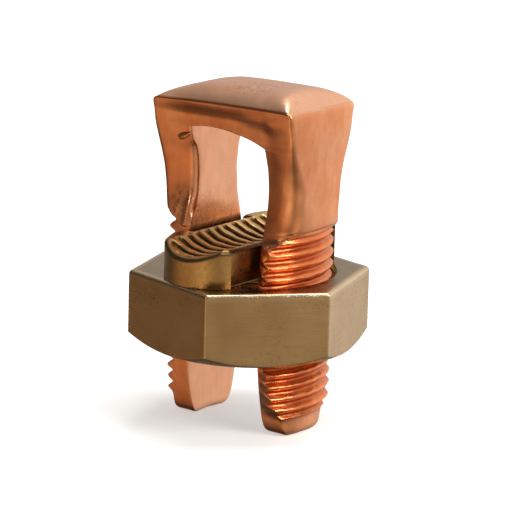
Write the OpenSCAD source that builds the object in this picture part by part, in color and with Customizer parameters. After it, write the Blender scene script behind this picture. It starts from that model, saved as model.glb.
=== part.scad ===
// Split bolt connector for joining heavy bare conductors.
// A forged U-shaped bolt with two threaded legs holds the wires in the slot
// between its legs.  A ribbed pressure bar rides on a hex nut and is driven up
// against the wires when the nut is turned.
// Z is up, the legs stand on z = 0, the wires run along Y, the legs are apart in X.

/* [Slot and wire window] */
// Width of the slot between the legs, the largest wire that fits
slot_w = 13.7; // [12.6:0.1:14.4]
// Height of the top of the arch that the wires bear on
arch_z = 45.1; // [44.2:0.1:45.8]
// Radius of the flat arch across the slot
arch_r = 17.5; // [14:0.5:30]

/* [Threaded legs] */
// Major diameter of the thread that both legs share
thread_d = 24.8; // [24.4:0.1:25.2]
// Lead of the thread, 14 turns to the inch
thread_pitch = 1.8143; // [1.5:0.0001:2.1]
// Height where the thread runs out under the plain legs
thread_top = 31.2; // [30.6:0.1:31.8]
// Depth of the legs in Y where the nut runs
leg_depth = 13.2; // [12:0.1:13.6]
// Depth of the legs in Y at their free ends
leg_tip_depth = 8.6; // [7.6:0.1:10]
// Height of the plain rounded lead below the thread
leg_lead = 2.4; // [1.6:0.1:3]

/* [Head] */
// Overall height of the bolt
bolt_h = 51.6; // [50.6:0.1:52.6]
// How far the crown of the head stands above its rim
crown_h = 2.4; // [1.6:0.1:3]
// Width of the flared head across the legs
head_w = 27.1; // [26.4:0.1:27.8]
// Depth of the flared head at its corners
head_d = 15.6; // [14.6:0.1:16.4]
// Width across the plain legs at their waist
waist_w = 25.9; // [25.2:0.1:26.4]
// Depth of the plain legs at their waist, beside the slot
waist_d = 9.9; // [9:0.1:11]
// How far the front and back of the head are hollowed between the corners
scoop = 1.2; // [0.4:0.1:1.6]

/* [Hex nut] */
// Size across the flats
nut_af = 31.75; // [31:0.05:33]
// Thickness of the nut
nut_h = 11.2; // [10:0.1:12]
// Height of the nut's lower face above the leg ends
nut_z = 12.15; // [10:0.05:16]
// How far the hexagon is turned from a corner on +X, in degrees
nut_turn = -11.6; // [-30:0.1:30]
// Radial clearance between the thread crests and the nut's bore
thread_gap = 0.05; // [0.03:0.01:0.09]
// Bevel along the upper edges of the flats
nut_bevel = 0.35; // [0.2:0.05:0.6]

/* [Pressure bar] */
// Height of the bar
bar_h = 5.8; // [5.2:0.1:6.4]
// Overall length of the bar along the wires
bar_len = 31.8; // [31:0.1:32.4]
// Radius of the bar's round ends in plan
bar_end_r = 7.5; // [7.3:0.05:7.8]
// Width of the bar's neck between the legs
bar_neck_w = 12; // [11.4:0.1:12.4]
// Radius of the trough along the bar's top
trough_r = 10; // [8.5:0.5:14]
// Depth of the trough
trough_depth = 1.5; // [1.2:0.05:1.6]
// Spacing of the gripping ribs along the bar
rib_pitch = 2.15; // [1.9:0.05:2.6]
// Depth of the grooves between the ribs
rib_depth = 0.5; // [0.3:0.05:0.7]
// Width of the plain rim round the bar's ends
rim_w = 0.9; // [0.6:0.1:1.4]

/* [Hidden] */

copper = [0.80, 0.42, 0.26];
nut_bronze = [0.58, 0.47, 0.31];
bar_bronze = [0.52, 0.36, 0.18];

thread_r = thread_d / 2;
bar_gap = 0.04;                       // slip gap between bar and nut
bar_z = nut_z + nut_h + bar_gap;      // underside of the bar
rim_z = bolt_h - crown_h;             // where the head's rim starts to round over
block_z = thread_top - 0.3;           // underside of the plain legs, a small ledge over the thread

// ---- forged body -------------------------------------------------------

function clamp01(t) = min(1, max(0, t));
function ease(t) = let (c = clamp01(t)) c * c * (3 - 2 * c);

// value of a profile at height z, eased between knots [z, value]
function prof(k, z) =
    z <= k[0][0] ? k[0][1] :
    z >= k[len(k) - 1][0] ? k[len(k) - 1][1] :
    let (i = max([for (j = [0:len(k) - 2]) if (z >= k[j][0]) j]))
    k[i][1] + (k[i + 1][1] - k[i][1]) * ease((z - k[i][0]) / (k[i + 1][0] - k[i][0]));

// half width of the plain part, outside the legs
half_w = [[block_z, thread_r - 0.2], [thread_top + 1.4, thread_r + 0.15],
          [thread_top + 6.5, waist_w / 2], [rim_z - 2.7, head_w / 2], [rim_z - 0.3, head_w / 2 - 0.15]];
// half depth at the outer corners
half_d_out = [[block_z, leg_depth / 2 - 0.8], [thread_top + 4.6, waist_d / 2 + 0.55],
              [rim_z - 2.7, head_d / 2], [rim_z - 0.3, head_d / 2]];
// half depth beside the slot and over the window
half_d_in = [[block_z, leg_depth / 2 - 0.85], [thread_top + 5.6, waist_d / 2],
             [rim_z - 4.3, head_d / 2 - scoop - 0.1], [rim_z - 2.1, head_d / 2 - scoop],
             [rim_z - 0.3, head_d / 2 - 0.15]];

// one quarter of the plan section, from +X round to +Y, shrunk by e
function quarter(z, e) =
    let (w = prof(half_w, z) - e, d = prof(half_d_out, z) - e, di = prof(half_d_in, z) - e,
         c = min(1.3 + 0.3 * e, d - 0.3), s = min(slot_w / 2, 0.6 * w))
    concat(
        [for (t = [0:0.5:0.5]) [w - 0.25 * t * t, t * (d - c)]],
        [for (a = [0:22.5:90]) [w - 0.25 - c + c * cos(a), d - c + c * sin(a)]],
        [for (t = [0.33:0.33:0.67]) let (x = w - 0.25 - c - t * (w - 0.25 - c - s)) [x, d + (di - d) * ease(t)]],
        [for (t = [0:0.5:0.5]) [s * (1 - t), di]]);

// the whole plan section, counter-clockwise
function section(z, e) =
    let (q = quarter(z, e), n = len(q))
    concat(
        q, [[0, prof(half_d_in, z) - e]],
        [for (i = [n - 1:-1:1]) [-q[i][0], q[i][1]]],
        [for (i = [0:n - 1]) [-q[i][0], -q[i][1]]],
        [[0, -prof(half_d_in, z) + e]],
        [for (i = [n - 1:-1:1]) [q[i][0], -q[i][1]]]);

// levels [height, where the section is taken, how far it is shrunk]
levels = concat(
    [for (i = [0:17]) let (z = block_z + i * (rim_z - block_z) / 17) [z, z, 0]],
    [for (a = [25:20:65]) [rim_z + 0.7 * sin(a), rim_z, 0.7 * (1 - cos(a))]],
    [for (t = [0.25:0.25:1]) [rim_z + 0.66 + (crown_h - 0.66) * (1 - (1 - t) * (1 - t)), rim_z, 0.46 + (head_d / 2 - 1.9) * t]]);

module forged_block() {
    rings = [for (l = levels) [for (p = section(l[1], l[2])) [p[0], p[1], l[0]]]];
    n = len(rings[0]);
    m = len(rings);
    polyhedron(
        points = [for (r = rings) for (p = r) p],
        faces = concat(
            [[for (i = [0:n - 1]) i]],
            [for (k = [0:m - 2]) for (i = [0:n - 1]) let (j = (i + 1) % n, a = k * n, b = (k + 1) * n)
                each [[a + i, b + i, a + j], [a + j, b + i, b + j]]],
            [[for (i = [n - 1:-1:0]) (m - 1) * n + i]]),
        convexity = 6);
}

// side outline of the threaded legs: flats that draw in towards the tips and the waist
leg_side = [
    [-leg_tip_depth / 2 + 0.9, 0], [leg_tip_depth / 2 - 0.9, 0],
    [leg_tip_depth / 2 - 0.1, 0.6], [leg_tip_depth / 2 + 0.5, 2.2], [leg_depth / 2 - 1.1, 5.2],
    [leg_depth / 2 - 0.45, 9], [leg_depth / 2 - 0.1, 13], [leg_depth / 2, 17], [leg_depth / 2, 24],
    [leg_depth / 2 - 0.2, 27], [leg_depth / 2 - 0.6, thread_top - 1.6], [leg_depth / 2 - 1.05, thread_top],
    [-leg_depth / 2 + 1.05, thread_top], [-leg_depth / 2 + 0.6, thread_top - 1.6], [-leg_depth / 2 + 0.2, 27],
    [-leg_depth / 2, 24], [-leg_depth / 2, 17], [-leg_depth / 2 + 0.1, 13], [-leg_depth / 2 + 0.45, 9],
    [-leg_depth / 2 + 1.1, 5.2], [-leg_tip_depth / 2 - 0.5, 2.2], [-leg_tip_depth / 2 + 0.1, 0.6]];

// round blank of the legs, thread crests at full size, plain rounded lead at the tips
module leg_round() {
    rotate_extrude($fn = 120)
        polygon([[0, 0], [thread_r - 2.4, 0], [thread_r - 1.75, 0.25], [thread_r - 1.3, 0.8],
                 [thread_r - 1.1, 1.6], [thread_r - 1.05, leg_lead], [thread_r, leg_lead + 0.9],
                 [thread_r, thread_top - 0.9], [thread_r - 0.75, thread_top], [0, thread_top]]);
}

module slot_cut() {
    spring = arch_z - arch_r + sqrt(arch_r * arch_r - slot_w * slot_w / 4);
    union() {
        translate([-slot_w / 2, -20, -1]) cube([slot_w, 40, spring + 1.02]);
        intersection() {
            translate([-slot_w / 2, -20, spring - 1]) cube([slot_w, 40, arch_z - spring + 2]);
            translate([0, 0, arch_z - arch_r]) rotate([90, 0, 0]) cylinder(r = arch_r, h = 40, center = true, $fn = 180);
        }
    }
}

module split_bolt_body() {
    color(copper)
    difference() {
        union() {
            forged_block();
            intersection() {
                leg_round();
                rotate([90, 0, 90]) linear_extrude(height = 40, center = true) polygon(leg_side);
            }
        }
        slot_cut();
    }
}

// ---- hex nut -----------------------------------------------------------

module hex_nut() {
    corner_r = nut_af / 2 / cos(30);
    face_r = nut_af / 2 - 0.45;            // washer circle left on the lower face
    cham_h = (corner_r - face_r) * tan(30);
    cham_z = (corner_r * corner_r - face_r * face_r + cham_h * cham_h) / (2 * cham_h);
    cham_r = sqrt(face_r * face_r + cham_z * cham_z);
    color(nut_bronze)
    translate([0, 0, nut_z])
    difference() {
        intersection() {
            // hexagon with bevelled upper edges
            rotate([0, 0, nut_turn]) hull() {
                cylinder(r = corner_r, h = nut_h - nut_bevel, $fn = 6);
                cylinder(r = corner_r - nut_bevel / cos(30), h = nut_h, $fn = 6);
            }
            // turned chamfer on the lower face, about 30 degrees and slightly crowned
            translate([0, 0, cham_z]) sphere(r = cham_r, $fn = 180);
        }
        // bore that runs on the thread crests, countersunk at both faces
        translate([0, 0, -1]) cylinder(r = thread_r + thread_gap, h = nut_h + 2, $fn = 120);
        translate([0, 0, -0.01]) cylinder(r1 = thread_r + 0.5, r2 = thread_r + thread_gap, h = 0.5, $fn = 120);
        translate([0, 0, nut_h - 0.49]) cylinder(r1 = thread_r + thread_gap, r2 = thread_r + 0.5, h = 0.5, $fn = 120);
    }
}

// ---- pressure bar ------------------------------------------------------

module bar_plan() {
    end_y = bar_len / 2 - bar_end_r;
    difference() {
        union() {
            translate([0, -end_y]) circle(r = bar_end_r, $fn = 96);
            translate([0, end_y]) circle(r = bar_end_r, $fn = 96);
            square([bar_neck_w, 2 * end_y], center = true);
        }
        // clears the left leg, so that the ends hook round it
        translate([-bar_end_r - 1, -leg_depth / 2 - 0.6]) square([bar_end_r + 1.1 - bar_neck_w / 2, leg_depth + 1.2]);
        // clears the right leg, straight out to the shoulders of the ends
        translate([bar_neck_w / 2 - 0.1, -end_y - 4]) square([bar_end_r, 2 * end_y + 8]);
    }
}

// turned cutter with a groove at each rib pitch, coaxial with the trough
module rib_cutter() {
    n = 6;
    crest = 0.30 * rib_pitch;
    valley = 0.16 * rib_pitch;
    groove = [for (i = [-n:n]) each [
        [trough_r - 0.02, (i - 0.5) * rib_pitch + crest / 2], [trough_r + rib_depth, i * rib_pitch - valley / 2],
        [trough_r + rib_depth, i * rib_pitch + valley / 2], [trough_r - 0.02, (i + 0.5) * rib_pitch - crest / 2]]];
    end_y = bar_len / 2 - bar_end_r;
    intersection() {
        translate([0, 0, bar_h - trough_depth + trough_r]) rotate([90, 0, 0])
            rotate_extrude($fn = 180)
                polygon(concat([[trough_r - 4, -(n + 0.5) * rib_pitch]], groove, [[trough_r - 4, (n + 0.5) * rib_pitch]]));
        // stops short of the rim round the ends
        linear_extrude(height = bar_h + 1) union() {
            translate([0, -end_y]) circle(r = bar_end_r - rim_w, $fn = 96);
            translate([0, end_y]) circle(r = bar_end_r - rim_w, $fn = 96);
            square([bar_neck_w + 4, 2 * end_y - 1], center = true);
        }
    }
}

module pressure_bar() {
    end_y = bar_len / 2 - bar_end_r;
    color(bar_bronze)
    translate([0, 0, bar_z])
    difference() {
        linear_extrude(height = bar_h) bar_plan();
        // trough for the wires
        translate([0, 0, bar_h - trough_depth + trough_r]) rotate([90, 0, 0])
            cylinder(r = trough_r, h = bar_len + 4, center = true, $fn = 180);
        rib_cutter();
        // bevels along the neck's upper edges, 45 degrees
        translate([-bar_neck_w / 2 + 0.02, 0, bar_h + 0.53]) rotate([0, 45, 0])
            cube([1.5, leg_depth + 0.6, 1.5], center = true);
        translate([bar_neck_w / 2 - 0.08, 0, bar_h + 0.53]) rotate([0, 45, 0])
            cube([1.5, 2 * end_y + 7.4, 1.5], center = true);
        // relief along the foot of the neck, beside the right leg
        translate([bar_neck_w / 2 - 0.6, -end_y - 3.5, -1]) cube([2, 2 * end_y + 7, 2.8]);
    }
}

split_bolt_body();
pressure_bar();
hex_nut();
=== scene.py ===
import math

import bpy
import numpy as np
from mathutils import Matrix, Vector


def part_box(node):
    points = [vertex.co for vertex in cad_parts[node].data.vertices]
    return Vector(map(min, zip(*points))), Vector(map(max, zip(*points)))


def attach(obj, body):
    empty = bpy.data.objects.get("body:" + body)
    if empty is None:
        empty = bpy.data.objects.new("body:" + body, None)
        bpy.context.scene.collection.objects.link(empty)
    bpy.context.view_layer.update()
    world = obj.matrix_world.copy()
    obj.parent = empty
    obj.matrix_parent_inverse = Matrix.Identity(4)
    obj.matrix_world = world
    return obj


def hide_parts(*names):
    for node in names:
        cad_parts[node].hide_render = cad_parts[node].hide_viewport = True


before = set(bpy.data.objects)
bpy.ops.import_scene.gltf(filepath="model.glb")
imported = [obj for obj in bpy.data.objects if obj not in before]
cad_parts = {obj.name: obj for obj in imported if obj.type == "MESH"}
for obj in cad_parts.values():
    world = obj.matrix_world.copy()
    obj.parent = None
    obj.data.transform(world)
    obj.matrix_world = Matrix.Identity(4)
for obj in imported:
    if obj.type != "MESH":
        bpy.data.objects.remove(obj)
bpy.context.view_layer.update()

MM = 0.001
rng = np.random.default_rng(11)

# ------------------------------------------------------------------ sizes in mm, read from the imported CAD
box_body = [np.array(v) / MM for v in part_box("split_bolt_body")]
box_bar = [np.array(v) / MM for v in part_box("pressure_bar")]
box_nut = [np.array(v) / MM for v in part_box("hex_nut")]

BOLT_H = float(box_body[1][2])
NUT_Z0, NUT_Z1 = float(box_nut[0][2]), float(box_nut[1][2])
BAR_Z0, BAR_Z1 = float(box_bar[0][2]), float(box_bar[1][2])
BAR_L = float(box_bar[1][1] - box_bar[0][1])

SLOT = 13.7 / 2
ARCH_Z, ARCH_R = 45.1, 17.5
R_MAJ = 12.4
PITCH = 1.8143
DEPTH = 1.0
THREAD_TOP = 31.2
RIM_Z = BOLT_H - 2.4
CROWN = 2.4
NUT_AF = 31.75
NUT_TURN = math.radians(-11.6)
ARCH_R, ARCH_X, ARCH_TOP = 25.0, -2.6, ARCH_Z + 0.2                     # the forged arch is flat and sits off centre
TILT = 0.034                                                            # the head rises a little to the right


def arch(x):
    """Height of the window's arch at x."""
    return ARCH_TOP - ARCH_R + np.sqrt(ARCH_R ** 2 - (x - ARCH_X) ** 2)


SPRINGS = {1: float(arch(SLOT)), -1: float(arch(-SLOT))}


# ------------------------------------------------------------------ small maths helpers
def clamp01(t):
    return np.clip(t, 0.0, 1.0)


def ease(t):
    c = clamp01(t)
    return c * c * (3 - 2 * c)


def knots(table, x):
    """Smooth monotone interpolation through knots [(x, value)]."""
    xs = np.array([k[0] for k in table], float)
    ys = np.array([k[1] for k in table], float)
    h = np.diff(xs)
    d = np.diff(ys) / h
    m = np.zeros_like(ys)
    m[0], m[-1] = d[0], d[-1]
    for i in range(1, len(xs) - 1):
        m[i] = 0.0 if d[i - 1] * d[i] <= 0 else 2 * d[i - 1] * d[i] / (d[i - 1] + d[i])
    xc = np.clip(np.asarray(x, float), xs[0], xs[-1])
    i = np.clip(np.searchsorted(xs, xc, side="right") - 1, 0, len(xs) - 2)
    t = (xc - xs[i]) / h[i]
    return ((1 + 2 * t) * (1 - t) ** 2 * ys[i] + t * (1 - t) ** 2 * h[i] * m[i]
            + t * t * (3 - 2 * t) * ys[i + 1] + t * t * (t - 1) * h[i] * m[i + 1])


_perm = rng.permutation(256)
_perm = np.concatenate([_perm, _perm, _perm])
_grad = rng.normal(size=(256, 3))
_grad /= np.linalg.norm(_grad, axis=1)[:, None]


def noise3(p):
    """Gradient noise, about -1 to 1, at an array of points (..., 3)."""
    p = np.asarray(p, float)
    f = np.floor(p).astype(int)
    u = p - f
    w = u * u * u * (u * (u * 6 - 15) + 10)
    f &= 255
    out = 0
    for dx in (0, 1):
        for dy in (0, 1):
            for dz in (0, 1):
                i = _perm[_perm[_perm[(f[..., 0] + dx) & 255] + ((f[..., 1] + dy) & 255)] + ((f[..., 2] + dz) & 255)]
                k = ((w[..., 0] if dx else 1 - w[..., 0]) * (w[..., 1] if dy else 1 - w[..., 1])
                     * (w[..., 2] if dz else 1 - w[..., 2]))
                out = out + k * (_grad[i] * (u - np.array([dx, dy, dz]))).sum(-1)
    return out * 1.6


def fbm(p, octaves=3):
    s, a, out = 1.0, 1.0, 0
    for _ in range(octaves):
        out = out + a * noise3(np.asarray(p) * s)
        s *= 2.1
        a *= 0.5
    return out


def trim(curve, cut0, cut1, n):
    """n points evenly along a polyline, with cut0 and cut1 left off its ends."""
    length = np.concatenate([[0], np.cumsum(np.linalg.norm(np.diff(curve, axis=0), axis=1))])
    lim = length[-1] * 0.46
    q = np.linspace(min(cut0, lim), length[-1] - min(cut1, lim), n)
    return np.stack([np.interp(q, length, curve[:, k]) for k in range(3)], -1)


def conic(p0, b, p2, n, w=0.8):
    """The n inner points of a rounding from p0 to p2 about the corner b."""
    t = np.linspace(0, 1, n + 2)[1:-1, None]
    den = (1 - t) ** 2 + 2 * w * t * (1 - t) + t * t
    return ((1 - t) ** 2 * p0 + 2 * w * t * (1 - t) * b + t * t * p2) / den


def mesh_object(name, verts, faces, smooth_angle, **attributes):
    me = bpy.data.meshes.new(name)
    me.from_pydata((np.asarray(verts) * MM).tolist(), [], faces)
    me.update()
    co = np.asarray(verts)
    me.calc_loop_triangles()
    tri = np.array([t.vertices[:] for t in me.loop_triangles])
    vol = np.einsum("ij,ij->i", co[tri[:, 0]], np.cross(co[tri[:, 1]], co[tri[:, 2]])).sum()
    if vol < 0:
        me.flip_normals()
    for key, values in attributes.items():
        a = me.attributes.new(key, "FLOAT", "POINT")
        a.data.foreach_set("value", np.asarray(values, np.float32))
    me.shade_smooth()
    me.set_sharp_from_angle(angle=math.radians(smooth_angle))
    ob = bpy.data.objects.new(name, me)
    bpy.context.scene.collection.objects.link(ob)
    return ob


def grid_faces(rows, cols, closed_cols=True, closed_rows=False, offset=0):
    faces = []
    n = cols if closed_cols else cols - 1
    for r in range(rows if closed_rows else rows - 1):
        a0, b0 = offset + r * cols, offset + ((r + 1) % rows) * cols
        for c in range(n):
            d = (c + 1) % cols
            faces.append((a0 + c, a0 + d, b0 + d, b0 + c))
    return faces


# ------------------------------------------------------------------ the thread form
PHASES = np.array([0.0, 0.08, 0.16, 0.25, 0.33, 0.40, 0.46, 0.54, 0.60, 0.67, 0.75, 0.84, 0.92])


def root_share(phase):
    """1 in the root, 0 on the crest; the crest is at phase 0.5."""
    t = 1 - np.abs(((phase % 1.0) - 0.5) * 2)          # 0 in the root, 1 on the crest
    t = clamp01((t - 0.10) / (0.88 - 0.10))
    return 1 - (0.62 * t + 0.38 * ease(t))


def helix_rows(z0, z1, shift):
    k0 = math.floor(z0 / PITCH) - 2
    rows = np.array([(k + p + shift) * PITCH for k in range(k0, k0 + int((z1 - z0) / PITCH) + 5) for p in PHASES])
    return rows[(rows > z0) & (rows < z1)]


# ------------------------------------------------------------------ the forged body
HD_IN = [(0.0, 3.9), (0.6, 4.25), (2.2, 4.85), (5.2, 5.5), (9.0, 6.12), (13, 6.48), (18, 6.6), (25, 6.58), (28.5, 6.25),
         (31.2, 5.72), (34, 5.15), (37.2, 4.93), (40, 5.15), (42.6, 5.85), (44.6, 6.40), (46.0, 6.42), (46.8, 6.5),
         (47.6, 6.86), (48.4, 7.34), (49.3, 7.76)]
HD_OUT = [(0.0, 3.9), (0.6, 4.25), (2.2, 4.85), (5.2, 5.5), (9.0, 6.12), (13, 6.48), (18, 6.6), (25, 6.58), (28.5, 6.28),
          (31.2, 5.9), (34, 5.6), (37.2, 5.62), (40, 6.0), (42.6, 6.6), (44.8, 7.1), (46.2, 7.22), (47.2, 7.34), (48.4, 7.66), (49.3, 7.8)]
HW = [(30.6, 12.22), (31.15, 12.3), (31.55, 12.62), (32.2, 12.7), (35, 12.78), (38, 12.95), (42, 13.25), (46.3, 13.53),
      (48.0, 13.5), (49.3, 13.4)]

N_OUT, N_C, N_FR, N_CI, N_IN = 44, 6, 18, 4, 12
COLS = N_OUT + 2 * N_C + 2 * N_FR + 2 * N_CI + N_IN


def half_depth(x, z):
    hi, ho = knots(HD_IN, z), knots(HD_OUT, z)
    return hi + (ho - hi) * ease((np.abs(x) - SLOT) / (13.0 - SLOT))


def bulge(z):
    """How far the front and back faces stand out between their edges."""
    return float(knots([(0, 0.0), (24, 0.0), (29, 0.05), (33, 0.26), (38, 0.30), (42.5, 0.18), (44.5, 0.0)], z))


def close_ring(outer, inner_b, inner_f, back, front, r_out, r_inb, r_inf, w_inf=0.8, w_out=0.8, r_ob=None):
    """One closed row: outer face front to back, back face, slot face, front face."""
    r_ob = r_out if r_ob is None else r_ob
    o = trim(outer, r_out, r_ob, N_OUT)
    b = trim(back, r_ob, r_inb, N_FR)
    i = trim(np.linspace(inner_b, inner_f, 3), r_inb, r_inf, N_IN)
    f = trim(front, r_inf, r_out, N_FR)
    return np.concatenate([o, conic(o[-1], outer[-1], b[0], N_C, w_out), b, conic(b[-1], inner_b, i[0], N_CI), i,
                           conic(i[-1], inner_f, f[0], N_CI, w_inf), f, conic(f[-1], outer[0], o[0], N_C, w_out)])


def leg_row(z, side):
    """The row whose helix height is z. side is +1 on the right, -1 on the left."""
    hi, ho = float(knots(HD_IN, z)), float(knots(HD_OUT, z))
    flare = 1.35 * float(ease((z - 2.6) / 3) * ease((30.6 - z) / 2.2)) if side > 0 else 0.0
    ho += flare                                                             # the right leg's flats slope out to the thread
    tip = 0.0
    if z < 1.1:
        tip = 1.1 - math.sqrt(max(0.0, 1.1 ** 2 - (1.1 - z) ** 2))          # rounded lower end
    v = np.sin(np.linspace(-1, 1, 61) * math.pi / 2 * 0.96) / math.sin(math.pi / 2 * 0.96)
    y = v * ho
    th = np.arcsin(np.clip(y / R_MAJ, -1, 1))
    plain = float(ease((z - 30.55) / 0.55))
    root = float(root_share(z / PITCH - (0.0 if side > 0 else 0.5)))
    amp = (1 - float(ease((z - 30.1) / 0.8))) * float(ease((z - 2.5) / 1.1))
    p = np.stack([np.cos(th) * 12 + side * 31, np.sin(th) * 12, np.full_like(th, z)], -1)
    wob = 1 + 0.16 * noise3(p * 0.45)
    deep = 0.80 if side > 0 else 0.98
    r = R_MAJ - DEPTH * deep * root * amp * wob
    r = r - 0.11 * (1 - root) * amp * clamp01(0.35 + noise3(p * np.array([0.8, 0.8, 1.6])))
    r = r - 0.05 * amp * noise3(p * np.array([1.5, 1.5, 2.6]) + 7)
    lead = float(knots([(0.0, 1.05), (0.9, 0.98), (2.2, 0.92), (2.75, 0.8), (3.6, 0.0)], z))
    r = np.minimum(r, R_MAJ - lead)
    x = np.sqrt(np.maximum(r * r - y * y, 1.0))
    if plain > 0:
        w = float(knots(HW, z))
        if side < 0:
            w -= 0.30 * float(ease((33.4 - z) / 2.4))
        low = float(ease((36.5 - z) / 5.5)) * (np.where(v < 0, 1.0, 0.25) if side > 0 else 0.2)   # towards the thread the front corner turns round
        xp = w - (0.26 + 0.55 * low) * v ** 2 - (0.08 + 0.45 * low) * v ** 4
        x = x * (1 - plain) + xp * plain
    outer = np.column_stack([x, y, np.full_like(x, z)])
    x1 = x[0]
    t = np.linspace(0, 1, 26)
    xf = SLOT + (x1 - SLOT) * t
    yy = hi + (ho - flare - hi) * ease(t) + flare * t + bulge(z) * np.sin(math.pi * t) ** 0.9
    front = np.column_stack([xf, -yy, np.full_like(xf, z)])
    back = np.column_stack([xf, yy, np.full_like(xf, z)])[::-1]
    r_out = float(knots([(0, 0.35), (3.5, 0.16), (29.6, 0.16), (30.9, 1.5), (33.0, 2.3), (37.0, 2.3), (40.5, 1.5), (44.0, 0.8), (48.5, 0.6)], z))
    r_ob = min(r_out, 0.75)
    if side < 0:
        r_out = min(r_out, 0.85)
    r_in = float(knots([(0, 0.35), (3.0, 0.14), (30, 0.16), (33, 0.3), (44, 0.3)], z))
    r_inf, w_inf = r_in, 0.8
    if side < 0:                                                            # worn strip down the left leg's inner front edge
        r_inf = r_in + 0.55 * float(ease((z - 30.2) / 1.5) * ease((42.9 - z) / 1.2))
        w_inf = 0.8 - 0.35 * float(ease((z - 30.2) / 1.5) * ease((42.9 - z) / 1.2))
    ring = close_ring(outer, np.array([SLOT, hi, z]), np.array([SLOT, -hi, z]), back, front, r_out, r_in, r_inf, w_inf, r_ob=r_ob)
    if tip > 0:
        c = np.array([9.0, 0.0])
        rel = ring[:, :2] - c
        d = np.linalg.norm(rel, axis=1)
        ring[:, :2] = c + rel * (np.maximum(d - tip * 0.9, 0.2) / d)[:, None]
    shear = float(ease(z / 2.6)) * (1 - float(ease((z - 31.0) / 5.0)))
    beta = np.arctan2(ring[:, 1], ring[:, 0])
    ring[:, 2] += PITCH * beta / (2 * math.pi) * shear * side
    ring[:, 0] *= side
    info = np.zeros((len(ring), 4))                                         # thread, root, slot face, crown
    thr = (1 - plain) * float(ease((z - 2.4) / 0.8))
    on_outer = np.zeros(len(ring))
    on_outer[:N_OUT] = 1
    info[:, 0] = thr * on_outer
    # the root mask drives the painted shade in the thread roots
    info[:, 1] = root * amp * on_outer
    k = N_OUT + N_C + N_FR
    info[k + 1:k + 2 * N_CI + N_IN - 1, 2] = 1
    return ring, info


def head_rows():
    """Rows that fan over the window, from the right spring of the arch to the left one."""
    rim_r = 0.62
    side_f = np.concatenate([np.linspace(0, 0.68, 13)[1:], np.linspace(0.68, 1, 7)[1:]])
    q = [("side", f, 0.0, 0.0) for f in side_f]
    q += [("rim", a, 0.0, a / 90.0) for a in (10, 24, 38, 52, 66, 80)]
    w_top = float(knots(HW, RIM_Z)) - rim_r
    xs = np.sin(np.linspace(1, 0, 37) * math.pi / 2 * 0.93) / math.sin(math.pi / 2 * 0.93) * w_top
    q += [("top", x, 0.0, 0.0) for x in xs]
    rows, infos = [], []

    def make(kind, a, mirror):
        v = np.sin(np.linspace(-1, 1, 61) * math.pi / 2 * 0.95) / math.sin(math.pi / 2 * 0.95)
        sag = 0.26 * v ** 2 + 0.08 * v ** 4
        if kind == "side":
            spring = SPRINGS[-1 if mirror else 1]
            z = spring + (RIM_Z - rim_r - spring) * a
            ho = float(knots(HD_OUT, z))
            outer = np.column_stack([float(knots(HW, z)) - sag, v * ho, np.full_like(v, z)])
            xi = SLOT * (1 - 0.42 * a)
        elif kind == "rim":
            an = math.radians(a)
            x = w_top + rim_r * math.cos(an)
            z = RIM_Z - rim_r + rim_r * math.sin(an)
            ho = float(knots(HD_OUT, z))
            outer = np.column_stack([x - sag, v * ho, np.full_like(v, z)])
            xi = SLOT * (0.58 - 0.08 * a / 90)
        else:
            x = a
            ho = float(half_depth(x, RIM_Z))
            dx, dy = w_top - abs(x), ho * (1 - np.abs(v))
            d = dx * dy / np.maximum((dx ** 3 + dy ** 3), 1e-12) ** (1 / 3)
            t = clamp01(d / 4.9)
            z = RIM_Z + CROWN * (1 - (1 - t) ** 2.1)
            z = z - 0.9 * np.exp(-((x + 11.0) / 3.6) ** 2) * t ** 0.7       # the left end of the crown sits lower
            outer = np.column_stack([x - sag * (x / w_top) ** 5, v * ho, z])
            xi = SLOT * 0.5 * x / w_top
        zi = float(arch(-xi if mirror else xi))
        hi = float(knots(HD_IN, zi))
        o = outer[0]
        t = np.linspace(0, 1, 30)
        xf, zf = xi + (o[0] - xi) * t, zi + (o[2] - zi) * t
        yy = half_depth(xf, zf)
        yy = yy + (ho - yy[-1]) * t ** 6 + (hi - yy[0]) * (1 - t) ** 6
        xs_, zs_ = xf * (-1 if mirror else 1), zf
        yy_f = yy + (0.42 * ease((xs_ - 0.5) / 6.5) * np.exp(-((zs_ - 47.3) / 1.15) ** 2)
                     + 0.30 * np.exp(-((xs_ - 8.9) / 1.7) ** 2 - ((zs_ - 46.9) / 1.2) ** 2)) * np.sin(math.pi * t) ** 0.5
        front = np.column_stack([xf, -yy_f, zf])
        back = np.column_stack([xf, yy, zf])[::-1]
        if kind == "side":
            r_out = float(knots([(43.7, 0.83), (45.5, 0.66), (48.5, 0.5)], z))
        else:
            r_out = 0.45
        ring = close_ring(outer, np.array([xi, hi, zi]), np.array([xi, -hi, zi]), back, front, r_out, 0.3, 0.3)
        if mirror:
            ring = ring * np.array([-1.0, 1.0, 1.0])
        info = np.zeros((len(ring), 4))
        k = N_OUT + N_C + N_FR
        info[k + 1:k + 2 * N_CI + N_IN - 1, 2] = 1
        if kind == "top":
            info[:N_OUT, 3] = 1
        if kind == "rim":
            info[:N_OUT, 3] = a / 90.0
        return ring, info

    for kind, a, _, _ in q:
        r, i = make(kind, a, False)
        rows.append(r)
        infos.append(i)
    for kind, a, _, _ in q[::-1][1:]:
        if kind == "top":
            r, i = make(kind, -a, False)
        else:
            r, i = make(kind, a, True)
        rows.append(r)
        infos.append(i)
    return rows, infos


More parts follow.
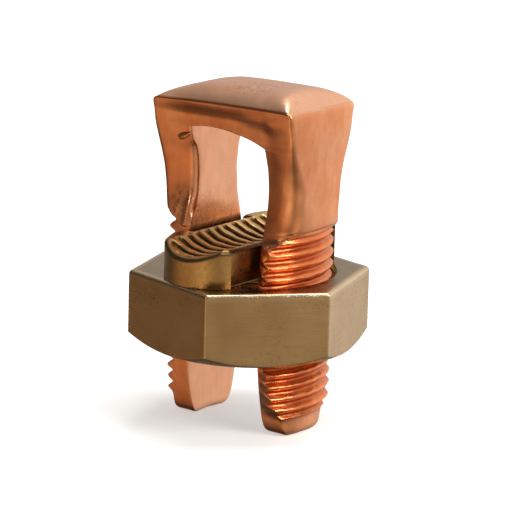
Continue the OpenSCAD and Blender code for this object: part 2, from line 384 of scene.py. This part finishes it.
def build_body():
    rows, infos = [], []
    tip_z = [0.0, 0.03, 0.1, 0.22, 0.4, 0.65, 0.95, 1.3, 1.7, 2.1]
    plain_z = [31.02, 31.14, 31.26, 31.38, 31.5, 31.65, 31.85, 32.1, 32.4, 32.75]
    plain = {s: plain_z + list(np.arange(33.15, SPRINGS[s] - 0.2, 0.42)) + [SPRINGS[s]] for s in (1, -1)}
    right = [leg_row(z, 1) for z in tip_z + list(helix_rows(2.35, 30.95, 0.0)) + plain[1]]
    left = [leg_row(z, -1) for z in tip_z + list(helix_rows(2.35, 30.95, 0.5)) + plain[-1]]
    hr, hi = head_rows()
    for r, i in right:
        rows.append(r)
        infos.append(i)
    rows += hr
    infos += hi
    for r, i in left[::-1]:
        rows.append(r)
        infos.append(i)
    n = len(rows)
    v = np.concatenate(rows)
    info = np.concatenate(infos)
    faces = grid_faces(n, COLS)
    # slight unevenness of the forging on the plain parts
    soft = ease((v[:, 2] - 31.4) / 1.5)
    d = 0.06 * fbm(v / 5.5, 2) * soft
    g = v - np.column_stack([np.zeros(len(v)), np.zeros(len(v)), v[:, 2]])
    nrm = np.zeros_like(v)
    grid = v.reshape(n, COLS, 3)
    du = np.roll(grid, -1, 1) - np.roll(grid, 1, 1)
    dv = np.zeros_like(grid)
    dv[1:-1] = grid[2:] - grid[:-2]
    dv[0], dv[-1] = grid[1] - grid[0], grid[-1] - grid[-2]
    nn = np.cross(du, dv)
    nn /= np.maximum(np.linalg.norm(nn, axis=2, keepdims=True), 1e-9)
    nrm = nn.reshape(-1, 3)
    # outward on the right side face
    probe = int(np.argmax(v[:, 0]))
    if nrm[probe, 0] < 0:
        nrm = -nrm
    # burr on the left leg's front face beside the slot, and the scuffed patch above the thread
    lz = v[:, 2]
    on_left_front = (v[:, 0] < -5.5) & (v[:, 1] < -3.8) & (lz > 28.0) & (lz < 36.0)
    cx = -7.75 + 0.07 * (lz - 31)
    ridge = np.exp(-((v[:, 0] - cx) / 0.55) ** 2) * ease((lz - 29.2) / 0.5) * ease((35.2 - lz) / 2.6)
    rough = clamp01(0.4 + fbm(v * np.array([1.4, 1.4, 0.9]) + 3, 3)) * np.exp(-((v[:, 0] + 9.2) / 1.3) ** 2) * ease((lz - 30.4) / 1.2) * ease((36.5 - lz) / 2.5)
    d = d + np.where(on_left_front, 0.34 * ridge + 0.07 * rough, 0.0)
    # worn patch on the crown
    top = info[:, 3] * ease((v[:, 2] - RIM_Z) / 0.8)
    patch = np.exp(-(((v[:, 0] - 1.5) / 4.2) ** 2 + ((v[:, 1] + 2.4) / 2.6) ** 2))
    d = d - 0.05 * top * patch * clamp01(0.2 + fbm(v * 1.5 + 20, 3))
    v = v + nrm * d[:, None]
    up_share = ease((v[:, 2] - 43.5) / 5.5)
    v[:, 2] += TILT * v[:, 0] * up_share                                   # the head rises to the right
    v[:, 0] -= 0.30 * ease((v[:, 2] - 33) / 11) * ease((np.abs(v[:, 0]) - SLOT) / 4)
    scuff = np.where(on_left_front, clamp01(rough + 0.3 * ridge), 0.0) + top * patch * 0.8
    # caps at the leg ends
    faces = list(faces)
    for row, flip in ((0, True), (n - 1, False)):
        ids = np.arange(row * COLS, (row + 1) * COLS)
        ring = v[ids]
        c = ring.mean(0)
        inner = c + (ring - c) * 0.55
        inner[:, 2] = ring[:, 2]
        base = len(v)
        v = np.concatenate([v, inner, c[None]])
        info = np.concatenate([info, np.zeros((COLS + 1, 4))])
        scuff = np.concatenate([scuff, np.zeros(COLS + 1)])
        for k in range(COLS):
            m = (k + 1) % COLS
            quad = (ids[k], ids[m], base + m, base + k)
            tri = (base + k, base + m, base + COLS)
            faces.append(tuple(int(i) for i in (quad[::-1] if flip else quad)))
            faces.append(tuple(int(i) for i in (tri[::-1] if flip else tri)))
    # the small lump of upset metal at the left leg's upper inner corner
    a_n, b_n = 22, 14
    base = len(v)
    centre = np.array([-8.2, -6.38, 43.3])
    e1, e2, e3 = np.array([0.93, -0.12, 0.30]), np.array([-0.28, 0.1, 0.94]), np.array([0.05, 1.0, 0.2])
    e1, e2, e3 = [e / np.linalg.norm(e) for e in (e1, e2, e3)]
    lump = []
    for j in range(1, b_n):
        ph = math.pi * j / b_n
        for i in range(a_n):
            th = 2 * math.pi * i / a_n
            s = 1 + 0.10 * math.sin(3 * th + 1) + 0.06 * math.sin(5 * th)
            lump.append(centre + e1 * 1.35 * math.sin(ph) * math.cos(th) * s + e2 * 0.55 * math.sin(ph) * math.sin(th) * s + e3 * 0.42 * math.cos(ph))
    lump.append(centre + e3 * 0.42)
    lump.append(centre - e3 * 0.42)
    v = np.concatenate([v, np.array(lump)])
    info = np.concatenate([info, np.zeros((len(lump), 4))])
    scuff = np.concatenate([scuff, np.full(len(lump), 0.25)])
    lf = grid_faces(b_n - 1, a_n, offset=base)
    top_i, bot_i = base + len(lump) - 2, base + len(lump) - 1
    for i in range(a_n):
        k = (i + 1) % a_n
        lf.append((base + k, base + i, top_i))
        lf.append((base + (b_n - 2) * a_n + i, base + (b_n - 2) * a_n + k, bot_i))
    # same winding as an outward shell
    f0 = lf[len(lf) // 3]
    fn = np.cross(v[f0[1]] - v[f0[0]], v[f0[2]] - v[f0[0]])
    body_out = nrm_winding(v, faces, n)
    if (np.dot(fn, v[list(f0)].mean(0) - centre) > 0) != body_out:
        lf = [f[::-1] for f in lf]
    faces += lf
    return mesh_object("split_bolt_copper", v, faces, 42, thread=info[:, 0], root=info[:, 1], slotface=info[:, 2], crown=info[:, 3], scuff=scuff)


def nrm_winding(v, faces, n):
    """True if the swept faces' winding points outward."""
    f = faces[(n // 6) * COLS + N_OUT // 2]
    fn = np.cross(v[f[1]] - v[f[0]], v[f[2]] - v[f[0]])
    return bool(np.dot(fn, np.array([1.0, 0, 0])) > 0)


# ------------------------------------------------------------------ the hex nut
def build_nut():
    corner_r = NUT_AF / 2 / math.cos(math.pi / 6)
    face_r = NUT_AF / 2 - 0.45
    ch = (corner_r - face_r) * math.tan(math.pi / 6)
    cz = (corner_r ** 2 - face_r ** 2 + ch ** 2) / (2 * ch)
    cr = math.sqrt(face_r ** 2 + cz ** 2)
    # plan: six flats with slightly rounded corners
    per = 30
    plan = []
    radii = [0.34, 0.55, 0.34, 0.34, 0.34, 0.34]
    for k in range(6):
        a0 = NUT_TURN + k * math.pi / 3
        a1 = a0 + math.pi / 3
        rc = radii[k]
        c0 = np.array([math.cos(a0), math.sin(a0)]) * corner_r
        c1 = np.array([math.cos(a1), math.sin(a1)]) * corner_r
        rc1 = radii[(k + 1) % 6]
        e = (c1 - c0) / np.linalg.norm(c1 - c0)
        cut0, cut1 = rc * math.tan(math.pi / 6), rc1 * math.tan(math.pi / 6)
        # corner arc at c0
        nrm_prev = np.array([math.cos(a0 - math.pi / 6), math.sin(a0 - math.pi / 6)])
        cen = c0 * (1 - rc / math.cos(math.pi / 6) / corner_r)
        for t in np.linspace(-1, 1, 7)[1:-1]:
            an = a0 + t * math.pi / 6
            plan.append(cen + rc * np.array([math.cos(an), math.sin(an)]))
        u = np.linspace(0, 1, per)
        u = 0.5 - 0.5 * np.cos(u * math.pi) * (0.55 + 0.45 * np.abs(np.cos(u * math.pi)))
        for t in u:
            plan.append(c0 + e * (cut0 + (np.linalg.norm(c1 - c0) - cut0 - cut1) * t))
    plan = np.array(plan)
    n = len(plan)
    ang = np.arctan2(plan[:, 1], plan[:, 0])
    rho = np.linalg.norm(plan, axis=1)
    dirs = np.stack([np.cos(ang), np.sin(ang)], -1)
    z_int = cz - np.sqrt(cr ** 2 - rho ** 2)
    h = NUT_Z1 - NUT_Z0
    rows = []

    def add(r, z):
        r = np.broadcast_to(r, (n,))
        z = np.broadcast_to(z, (n,))
        rows.append(np.column_stack([dirs * r[:, None], NUT_Z0 + z]))

    # lower face out to the washer circle
    add(13.1, 0.0)
    add(14.2, 0.0)
    add(face_r - 0.10, 0.0)
    add(face_r, 0.012)
    for t in (0.12, 0.35, 0.6, 0.8, 0.92):
        r = face_r + (rho - face_r) * t
        add(r, cz - np.sqrt(cr ** 2 - r ** 2))
    # the edge between chamfer and flat is slightly soft
    soft = 0.10
    add(rho - 0.035, z_int - soft * 0.45 + 0.02)
    add(rho - 0.008, z_int + soft * 0.35)
    add(rho, z_int + soft)
    bev = 0.62                                                              # rolled-over upper edge
    z_top = h - bev
    for t in np.linspace(0, 1, 16)[1:]:
        add(rho, z_int + soft + (z_top - z_int - soft) * t)
    inset = 0.52
    k = rho / (NUT_AF / 2)
    for a in (15, 30, 45, 60, 75, 90):
        an = math.radians(a)
        add(rho - inset * k * (1 - math.cos(an)), z_top + bev * math.sin(an))
    r_edge = rho - inset * k
    for t in (0.06, 0.25, 0.55, 0.85):
        add(r_edge + (13.35 - r_edge) * t, h)
    add(13.2, h)
    add(12.98, h)
    add(12.9, h - 0.03)
    add(12.7, h - 0.24)
    # the internal thread follows the bolt's helix
    zz = np.linspace(h - 0.45, 0.45, 92)
    theta = ang
    for z in zz:
        zw = NUT_Z0 + z
        rt = root_share(zw / PITCH - theta / (2 * math.pi))
        r = R_MAJ + 0.12 - (DEPTH - 0.05) * rt
        fade = float(ease((z - 0.35) / 0.9) * ease((h - 0.35 - z) / 0.9))
        add(r * fade + (12.5) * (1 - fade), z)
    add(12.7, 0.24)
    add(12.9, 0.03)
    add(12.98, 0.0)
    v = np.concatenate(rows)
    faces = grid_faces(len(rows), n, closed_rows=True)
    w = 0.012 * fbm(v / 3.0 + 40, 2)
    out = np.linalg.norm(v[:, :2], axis=1) > 15.0
    v[:, :2] *= (1 + np.where(out, w, 0.0) / np.maximum(np.linalg.norm(v[:, :2], axis=1), 1))[:, None]
    r = np.linalg.norm(v[:, :2], axis=1)
    # the bore mask carries painted shade inside the nut
    bore = ease((13.0 - r) / 0.2)
    rho_all = np.tile(rho, len(rows))
    height = (v[:, 2] - NUT_Z0) / h
    # band along the top bevel that gets the painted highlight
    edge = clamp01(1 - np.abs(height - (1 - 0.25 / h)) / 0.05)
    # the nut's top face, which gets painted shade
    upper = ease((height - 0.985) / 0.01) * ease((rho_all - 0.62 - r) / 0.5)
    return mesh_object("hex_nut_bronze", v, faces, 40, bore=bore, edge=edge, upper=upper)


# ------------------------------------------------------------------ the pressure bar
def build_bar():
    end_y = BAR_L / 2 - 7.5
    trough_r = 10.0
    axis_z = BAR_Z1 - 1.5 + trough_r
    pitch = 2.15
    neck = 5.9
    ly, ry = 7.2, 12.4                                                      # where the recesses for the legs stop

    def xl(y, inside):
        a = abs(y)
        if a < ly or (abs(a - ly) < 1e-6 and inside):
            return -neck
        return -math.sqrt(max(7.5 ** 2 - (a - end_y) ** 2, 0.0))

    def xr(y, inside):
        a = abs(y)
        if a < ry or (abs(a - ry) < 1e-6 and inside):
            return neck
        return math.sqrt(max(7.5 ** 2 - (a - end_y) ** 2, 0.0))

    def height(x, y, left, right):
        a = np.abs(y)
        rr = trough_r
        t = axis_z - np.sqrt(rr ** 2 - np.minimum(np.abs(x), 9.5) ** 2)
        base = np.minimum(t, BAR_Z1)
        # ribs across the trough: wave-like, unevenly worn
        ph = y / pitch + 0.055 * np.sin(x * 0.9 + y * 0.35) + 0.03 * np.sin(x * 2.3 + y)
        c = 0.5 + 0.5 * np.cos(2 * math.pi * ph)                            # 1 in a groove
        groove = np.clip((c - 0.22) / 0.66, 0, 1)
        groove = groove * groove * (3 - 2 * groove)
        lim_x = 1 - ease((np.abs(x) - 4.75) / 0.75)
        d_end = 7.5 - np.hypot(x, np.maximum(a - end_y, 0))
        lim_e = ease((d_end - 0.75) / 0.7)
        deep = 0.50 * groove * lim_x * lim_e
        dist = np.minimum(x - left, right - x)
        dist = np.where(a > end_y, np.minimum(dist, d_end), dist)
        wide = np.where(a > 12.0, 0.55, 0.5)
        bev = np.maximum(0, wide - dist)
        z = base - deep - bev * 0.95
        z += 0.02 * fbm(np.stack([x, y, np.zeros_like(x)], -1) * 0.9 + 60, 2)
        return z, groove * lim_x * lim_e, clamp01(bev / 0.2)

    al = math.asin(min(1.0, (ry - end_y) / 7.5))
    ys = list(np.arange(0, ly - 0.05, 0.10)) + [ly - 0.012]
    inside = [True] * len(ys)
    y2 = [ly + 0.012] + list(np.arange(ly + 0.1, ry - 0.05, 0.10)) + [ry - 0.012]
    ys += y2
    inside += [True] * len(y2)
    al = np.linspace(math.asin((ry + 0.012 - end_y) / 7.5), math.pi / 2 * 0.9965, 44)
    y3 = [end_y + 7.5 * math.sin(t) for t in al]
    ys += y3
    ys = np.array(ys)
    ys = np.concatenate([-ys[:0:-1], ys])
    N_T, N_W, N_B = 84, 7, 10
    rows, att = [], []
    for y in ys:
        L, R = xl(y, False), xr(y, False)
        u = np.linspace(0, 1, N_T)
        u = u - 0.075 * np.sin(2 * math.pi * u)                             # finer towards the edges
        x = L + (R - L) * u
        z, gr, bv = height(x, np.full_like(x, y), L, R)
        foot = 0.5 if abs(y) < 11.9 else 0.0
        zr, zl = z[-1], z[0]
        zf = BAR_Z0 + 1.8
        right = [(R, zr - (zr - zf) * t) for t in (0.12, 0.45, 0.8)] + [(R, zf + 0.03), (R - foot, zf - 0.03), (R - foot, BAR_Z0 + 0.14), (R - foot - 0.05 - 0.07 * (R > 1), BAR_Z0)]
        left = [(L + 0.12 * (L < -1) * 0.8, BAR_Z0), (L, BAR_Z0 + 0.14)] + [(L, BAR_Z0 + 0.14 + (zl - BAR_Z0 - 0.14) * t) for t in (0.2, 0.4, 0.6, 0.8, 0.95)]
        bx = np.linspace(right[-1][0], left[0][0], N_B + 2)[1:-1]
        ring = ([(a, y, b) for a, b in zip(x, z)] + [(a, y, b) for a, b in right]
                + [(a, y, BAR_Z0) for a in bx] + [(a, y, b) for a, b in left])
        rows.append(np.array(ring))
        rest = len(ring) - N_T
        att.append(np.column_stack([np.concatenate([gr, np.zeros(rest)]), np.concatenate([bv, np.zeros(rest)]), np.concatenate([np.ones(N_T), np.zeros(rest)])]))
    n = len(rows[0])
    v = np.concatenate(rows)
    att = np.concatenate(att)
    faces = grid_faces(len(rows), n)
    for row, flip in ((0, True), (len(rows) - 1, False)):
        ids = list(range(row * n, (row + 1) * n))
        base = len(v)
        c = v[ids].mean(0)
        c[2] = v[ids][:, 2].mean()
        v = np.concatenate([v, c[None]])
        att = np.concatenate([att, np.zeros((1, 3))])
        for k in range(n):
            m = (k + 1) % n
            t = (ids[k], ids[m], base)
            faces.append(t[::-1] if flip else t)
    return mesh_object("pressure_bar_bronze", v, faces, 38, groove=att[:, 0], rim=att[:, 1], topside=att[:, 2])


# ------------------------------------------------------------------ materials
class Nodes:
    """Short names for building a node tree."""

    def __init__(self, name):
        self.mat = bpy.data.materials.new(name)
        self.mat.use_nodes = True
        self.t = self.mat.node_tree
        self.t.nodes.clear()
        self.out = self.t.nodes.new("ShaderNodeOutputMaterial")
        self.bsdf = self.t.nodes.new("ShaderNodeBsdfPrincipled")
        self.t.links.new(self.bsdf.outputs["BSDF"], self.out.inputs["Surface"])
        self.coord = self.t.nodes.new("ShaderNodeTexCoord").outputs["Object"]

    def put(self, socket, value):
        if isinstance(value, bpy.types.NodeSocket):
            self.t.links.new(value, socket)
        elif value is not None:
            socket.default_value = value

    def attr(self, name):
        n = self.t.nodes.new("ShaderNodeAttribute")
        n.attribute_name = name
        return n.outputs["Fac"]

    def math(self, op, a, b=None, c=None, clamp=False):
        n = self.t.nodes.new("ShaderNodeMath")
        n.operation = op
        n.use_clamp = clamp
        for i, x in enumerate((a, b, c)):
            self.put(n.inputs[i], x)
        return n.outputs[0]

    def mapping(self, scale, rot=(0, 0, 0), loc=(0, 0, 0), vec=None):
        n = self.t.nodes.new("ShaderNodeMapping")
        self.put(n.inputs["Vector"], vec or self.coord)
        n.inputs["Scale"].default_value = scale
        n.inputs["Rotation"].default_value = rot
        n.inputs["Location"].default_value = loc
        return n.outputs[0]

    def noise(self, vec, scale=1.0, detail=4.0, rough=0.55, distort=0.0, out="Fac"):
        n = self.t.nodes.new("ShaderNodeTexNoise")
        self.put(n.inputs["Vector"], vec)
        n.inputs["Scale"].default_value = scale
        n.inputs["Detail"].default_value = detail
        n.inputs["Roughness"].default_value = rough
        n.inputs["Distortion"].default_value = distort
        return n.outputs[out] if out in n.outputs else n.outputs[0]

    def ramp(self, fac, stops, interp="LINEAR"):
        n = self.t.nodes.new("ShaderNodeValToRGB")
        self.put(n.inputs["Fac"], fac)
        cr = n.color_ramp
        cr.interpolation = interp
        while len(cr.elements) < len(stops):
            cr.elements.new(0.5)
        for e, (pos, col) in zip(cr.elements, stops):
            e.position = pos
            e.color = col if len(col) == 4 else (*col, 1)
        return n.outputs["Color"]

    def span(self, fac, lo, hi, a=0.0, b=1.0):
        n = self.t.nodes.new("ShaderNodeMapRange")
        self.put(n.inputs["Value"], fac)
        n.inputs["From Min"].default_value = lo
        n.inputs["From Max"].default_value = hi
        n.inputs["To Min"].default_value = a
        n.inputs["To Max"].default_value = b
        n.clamp = True
        return n.outputs["Result"]

    def mix(self, fac, a, b, kind="MIX"):
        n = self.t.nodes.new("ShaderNodeMix")
        n.data_type = "RGBA"
        n.blend_type = kind
        n.clamp_factor = True
        ins = [s for s in n.inputs if s.enabled or True]
        f = n.inputs["Factor"] if "Factor" in n.inputs else n.inputs[0]
        self.put(n.inputs[0], fac)
        a_s = [s for s in n.inputs if s.name == "A" and s.type == "RGBA"][0]
        b_s = [s for s in n.inputs if s.name == "B" and s.type == "RGBA"][0]
        self.put(a_s, a if isinstance(a, bpy.types.NodeSocket) else (*a, 1) if len(a) == 3 else a)
        self.put(b_s, b if isinstance(b, bpy.types.NodeSocket) else (*b, 1) if len(b) == 3 else b)
        return [s for s in n.outputs if s.type == "RGBA"][0]

    def bump(self, height, strength, distance, normal=None):
        n = self.t.nodes.new("ShaderNodeBump")
        n.inputs["Strength"].default_value = strength
        n.inputs["Distance"].default_value = distance
        self.put(n.inputs["Height"], height)
        if normal is not None:
            self.put(n.inputs["Normal"], normal)
        return n.outputs["Normal"]

    def xyz(self, vec=None):
        n = self.t.nodes.new("ShaderNodeSeparateXYZ")
        self.put(n.inputs[0], vec or self.coord)
        return n.outputs

    def geom(self, name):
        return self.t.nodes.new("ShaderNodeNewGeometry").outputs[name]


def copper():
    m = Nodes("forged_copper")
    thread, root, slotf, crown, scuff = (m.attr(k) for k in ("thread", "root", "slotface", "crown", "scuff"))
    big = m.noise(m.mapping((170, 170, 120)), detail=3)
    mid = m.noise(m.mapping((700, 700, 420), loc=(3, 1, 0)), detail=4)
    streak = m.noise(m.mapping((2600, 2600, 130), loc=(0, 5, 0)), detail=3)
    fine = m.noise(m.mapping((5200, 5200, 5200)), detail=2)
    base = m.ramp(big, [(0.25, (0.82, 0.29, 0.125)), (0.5, (0.93, 0.40, 0.20)), (0.78, (0.96, 0.50, 0.29))])
    base = m.mix(m.span(mid, 0.35, 0.75, 0, 0.35), base, (0.70, 0.26, 0.13))
    base = m.mix(m.span(streak, 0.56, 0.8, 0, 0.35), base, (0.50, 0.19, 0.12))
    # painted sheen: the crown and the slot faces are paler and pinker, standing in for the light they catch
    pale = m.math("MAXIMUM", m.math("MULTIPLY", crown, 0.85), m.math("MULTIPLY", slotf, 0.55))
    base = m.mix(pale, base, (0.96, 0.56, 0.38))
    # threads are redder; painted shade darkens the thread roots
    base = m.mix(m.math("MULTIPLY", thread, 0.75), base, (0.96, 0.27, 0.085))
    base = m.mix(m.math("MULTIPLY", root, 0.65), base, (0.36, 0.075, 0.025))
    # scuffs and tarnish spots
    spots = m.span(m.noise(m.mapping((950, 950, 950), loc=(7, 2, 9)), detail=5, rough=0.7), 0.66, 0.74)
    base = m.mix(m.math("MULTIPLY", spots, 0.45), base, (0.22, 0.075, 0.035))
    sc = m.math("MULTIPLY", m.span(m.noise(m.mapping((1500, 1500, 900), loc=(1, 8, 3)), detail=5, rough=0.75), 0.47, 0.60), scuff, clamp=True)
    base = m.mix(m.math("MULTIPLY", sc, 0.9, clamp=True), base, (0.20, 0.055, 0.03))
    m.put(m.bsdf.inputs["Base Color"], base)
    m.bsdf.inputs["Metallic"].default_value = 1.0
    rough = m.math("ADD", m.span(mid, 0.3, 0.75, 0.17, 0.29), m.math("MULTIPLY", streak, 0.08))
    rough = m.math("ADD", rough, m.math("MULTIPLY", sc, 0.25))
    rough = m.math("ADD", rough, m.math("MULTIPLY", thread, 0.04))
    m.put(m.bsdf.inputs["Roughness"], rough)
    h1 = m.bump(streak, 0.05, 0.00006)
    h2 = m.bump(mid, 0.10, 0.00010, h1)
    h3 = m.bump(fine, 0.06, 0.00002, h2)
    h4 = m.bump(sc, 0.4, 0.00008, h3)
    m.put(m.bsdf.inputs["Normal"], h4)
    return m.mat


def nut_metal():
    m = Nodes("nut_bronze")
    bore, edge = m.attr("bore"), m.attr("edge")
    big = m.noise(m.mapping((110, 110, 90)), detail=3)
    # brushing runs round the faces: long in plan, very short in height
    brush = m.noise(m.mapping((210, 210, 7200)), detail=4, rough=0.6)
    brush2 = m.noise(m.mapping((520, 520, 3000), loc=(3, 3, 1)), detail=3)
    speck = m.noise(m.mapping((1400, 1400, 1900), loc=(5, 0, 2)), detail=5, rough=0.7)
    base = m.ramp(big, [(0.28, (0.50, 0.34, 0.185)), (0.55, (0.62, 0.44, 0.25)), (0.8, (0.70, 0.52, 0.32))])
    base = m.mix(m.span(brush, 0.35, 0.75, 0, 0.30), base, (0.36, 0.25, 0.13))
    zone = m.span(m.noise(m.mapping((70, 70, 110), loc=(2, 9, 4)), detail=2), 0.50, 0.66)
    worn = m.math("MULTIPLY", m.span(speck, 0.52, 0.66), zone, clamp=True)
    base = m.mix(m.math("MULTIPLY", worn, 0.55), base, (0.22, 0.15, 0.08))
    # painted highlight: a pale cream band along the top bevel
    base = m.mix(m.math("MULTIPLY", edge, 0.6), base, (0.80, 0.68, 0.48))
    # painted shade: the bore is darkened
    base = m.mix(m.math("MULTIPLY", bore, 0.7), base, (0.28, 0.19, 0.10))
    # painted shade: the nut's top face is darkened
    base = m.mix(m.math("MULTIPLY", m.attr("upper"), 0.72), base, (0.17, 0.115, 0.065))
    m.put(m.bsdf.inputs["Base Color"], base)
    m.bsdf.inputs["Metallic"].default_value = 1.0
    rough = m.math("ADD", m.span(brush2, 0.3, 0.7, 0.20, 0.31), m.math("MULTIPLY", worn, 0.15))
    m.put(m.bsdf.inputs["Roughness"], rough)
    b1 = m.bump(brush, 0.10, 0.00003)
    b2 = m.bump(worn, 0.22, 0.00005, b1)
    m.put(m.bsdf.inputs["Normal"], b2)
    return m.mat


def bar_metal():
    m = Nodes("bar_bronze")
    groove, rim, top = m.attr("groove"), m.attr("rim"), m.attr("topside")
    big = m.noise(m.mapping((160, 160, 160)), detail=3)
    grain = m.noise(m.mapping((1700, 1700, 1700)), detail=5, rough=0.65)
    base = m.ramp(big, [(0.28, (0.40, 0.235, 0.085)), (0.55, (0.54, 0.335, 0.135)), (0.8, (0.62, 0.42, 0.19))])
    # painted highlight: the rib crests on the top are lightened
    crest = m.math("MULTIPLY", m.math("SUBTRACT", 1.0, groove, clamp=True), top)
    base = m.mix(m.math("MULTIPLY", crest, 0.45), base, (0.72, 0.46, 0.19))
    base = m.mix(m.math("MULTIPLY", m.span(grain, 0.5, 0.72), 0.4), base, (0.20, 0.12, 0.05))
    # painted shade: the grooves between the ribs are darkened almost to black
    base = m.mix(m.math("MULTIPLY", m.span(groove, 0.08, 0.6), 0.94), base, (0.06, 0.025, 0.006))
    # painted shade: the bevel round the top's edge is darkened almost to black
    base = m.mix(m.math("MULTIPLY", rim, 0.88), base, (0.045, 0.03, 0.015))
    m.put(m.bsdf.inputs["Base Color"], base)
    m.bsdf.inputs["Metallic"].default_value = 1.0
    m.put(m.bsdf.inputs["Roughness"], m.span(grain, 0.3, 0.75, 0.24, 0.38))
    b1 = m.bump(grain, 0.25, 0.00006)
    m.put(m.bsdf.inputs["Normal"], b1)
    return m.mat


# ------------------------------------------------------------------ build and attach
body = build_body()
nut = build_nut()
bar = build_bar()
body.data.materials.append(copper())
nut.data.materials.append(nut_metal())
bar.data.materials.append(bar_metal())
for piece, rides, node, slot_name in ((body, "bolt", "split_bolt_body", "forged_copper"), (nut, "nut", "hex_nut", "nut_bronze"), (bar, "bar", "pressure_bar", "bar_bronze")):
    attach(piece, rides)
    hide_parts(node)

# ------------------------------------------------------------------ floor, light, camera
bpy.ops.mesh.primitive_plane_add(size=6, location=(0, 0, 0))
floor = bpy.context.object
floor.name = "floor"
fm = bpy.data.materials.new("floor_pale")
fm.use_nodes = True
fb = fm.node_tree.nodes["Principled BSDF"]
fb.inputs["Base Color"].default_value = (0.88, 0.88, 0.88, 1)
fb.inputs["Roughness"].default_value = 0.9
fb.inputs["Emission Color"].default_value = (1, 1, 1, 1)
fb.inputs["Emission Strength"].default_value = 0.45
floor.data.materials.append(fm)
floor.visible_glossy = False
floor.visible_diffuse = False


def area(name, az, el, dist, size, power, color=(1, 1, 1), target=(0, 0, 0.028)):
    """A soft light; az 0 is in front (-Y), 90 on the right (+X)."""
    a, e = math.radians(az), math.radians(el)
    t = Vector(target)
    p = t + Vector((math.sin(a) * math.cos(e), -math.cos(a) * math.cos(e), math.sin(e))) * dist
    data = bpy.data.lights.new(name, "AREA")
    data.shape = "RECTANGLE"
    data.size, data.size_y = size
    data.energy = power
    data.color = color
    ob = bpy.data.objects.new(name, data)
    bpy.context.scene.collection.objects.link(ob)
    ob.location = p
    ob.rotation_euler = (t - p).to_track_quat("-Z", "Y").to_euler()
    ob.visible_camera = False
    return ob


area("key_right", 88, 34, 0.9, (0.35, 0.5), 4.5, (1.0, 0.97, 0.93))
area("top_soft", 170, 76, 0.8, (0.5, 0.4), 3.0)
area("front_fill", 8, 26, 1.0, (0.16, 0.22), 1.1, (1.0, 0.96, 0.9))

world = bpy.data.worlds.new("studio")
bpy.context.scene.world = world
world.use_nodes = True
wt = world.node_tree
wt.nodes.clear()
wo = wt.nodes.new("ShaderNodeOutputWorld")
tc = wt.nodes.new("ShaderNodeTexCoord").outputs["Generated"]


def lobe(az, el, power, strength):
    a, e = math.radians(az), math.radians(el)
    dot = wt.nodes.new("ShaderNodeVectorMath")
    dot.operation = "DOT_PRODUCT"
    wt.links.new(tc, dot.inputs[0])
    dot.inputs[1].default_value = (math.sin(a) * math.cos(e), -math.cos(a) * math.cos(e), math.sin(e))
    p = wt.nodes.new("ShaderNodeMath")
    p.operation = "MAXIMUM"
    wt.links.new(dot.outputs["Value"], p.inputs[0])
    p.inputs[1].default_value = 0.0
    q = wt.nodes.new("ShaderNodeMath")
    q.operation = "POWER"
    wt.links.new(p.outputs[0], q.inputs[0])
    q.inputs[1].default_value = power
    s = wt.nodes.new("ShaderNodeMath")
    s.operation = "MULTIPLY"
    wt.links.new(q.outputs[0], s.inputs[0])
    s.inputs[1].default_value = strength
    return s.outputs[0]


total = None
for args, tint in (((158, 4, 2.4, 0.98), (1.0, 0.93, 0.85)),
                   ((78, -8, 8.0, 0.66), (1.0, 0.80, 0.55)),
                   ((14, -22, 10.0, 0.85), (1.0, 0.76, 0.48)),
                   ((-36, -24, 9.0, 0.50), (1.0, 0.60, 0.33)),
                   ((200, 78, 5.0, 0.60), (1.0, 0.96, 0.90)),
                   ((222, 18, 3.0, 0.36), (1.0, 0.90, 0.82)),
                   ((0, 0, 0.0, 0.040), (1.0, 0.86, 0.70))):
    sc = wt.nodes.new("ShaderNodeVectorMath")
    sc.operation = "SCALE"
    sc.inputs[0].default_value = tint
    wt.links.new(lobe(*args), sc.inputs["Scale"])
    if total is None:
        total = sc.outputs[0]
    else:
        ad = wt.nodes.new("ShaderNodeVectorMath")
        ad.operation = "ADD"
        wt.links.new(total, ad.inputs[0])
        wt.links.new(sc.outputs[0], ad.inputs[1])
        total = ad.outputs[0]
env = wt.nodes.new("ShaderNodeBackground")
wt.links.new(total, env.inputs["Color"])
env.inputs["Strength"].default_value = 1.0
seen = wt.nodes.new("ShaderNodeBackground")
seen.inputs["Color"].default_value = (1, 1, 1, 1)
seen.inputs["Strength"].default_value = 1.0
lp = wt.nodes.new("ShaderNodeLightPath")
mx = wt.nodes.new("ShaderNodeMixShader")
wt.links.new(lp.outputs["Is Camera Ray"], mx.inputs[0])
wt.links.new(env.outputs[0], mx.inputs[1])
wt.links.new(seen.outputs[0], mx.inputs[2])
wt.links.new(mx.outputs[0], wo.inputs["Surface"])

AZ, EL, ROLL = math.radians(38.5), math.radians(13.94), math.radians(-1.59)
DIST, FPX = 461.84, 3085.4
CX, CY = 250.52, 254.13
back = np.array([math.sin(AZ) * math.cos(EL), -math.cos(AZ) * math.cos(EL), math.sin(EL)])
right = np.array([math.cos(AZ), math.sin(AZ), 0.0])
up = np.cross(back, right)
cam_r = right * math.cos(ROLL) - up * math.sin(ROLL)
cam_u = right * math.sin(ROLL) + up * math.cos(ROLL)
pos = (np.array([0, 0, 25.45]) + back * DIST) * MM
cd = bpy.data.cameras.new("photo_camera")
cd.sensor_width = 36.0
cd.lens = 36.0 * FPX / 512
cd.shift_x = (256 - CX) / 512
cd.shift_y = -(256 - CY) / 512
cd.clip_start = 0.01
cd.clip_end = 20
cam = bpy.data.objects.new("photo_camera", cd)
bpy.context.scene.collection.objects.link(cam)
rot = Matrix((cam_r, cam_u, back)).transposed()
cam.matrix_world = Matrix.Translation(Vector(pos)) @ rot.to_4x4()
bpy.context.scene.camera = cam
bpy.context.scene.view_settings.view_transform = "Standard"

bpy.context.view_layer.update()
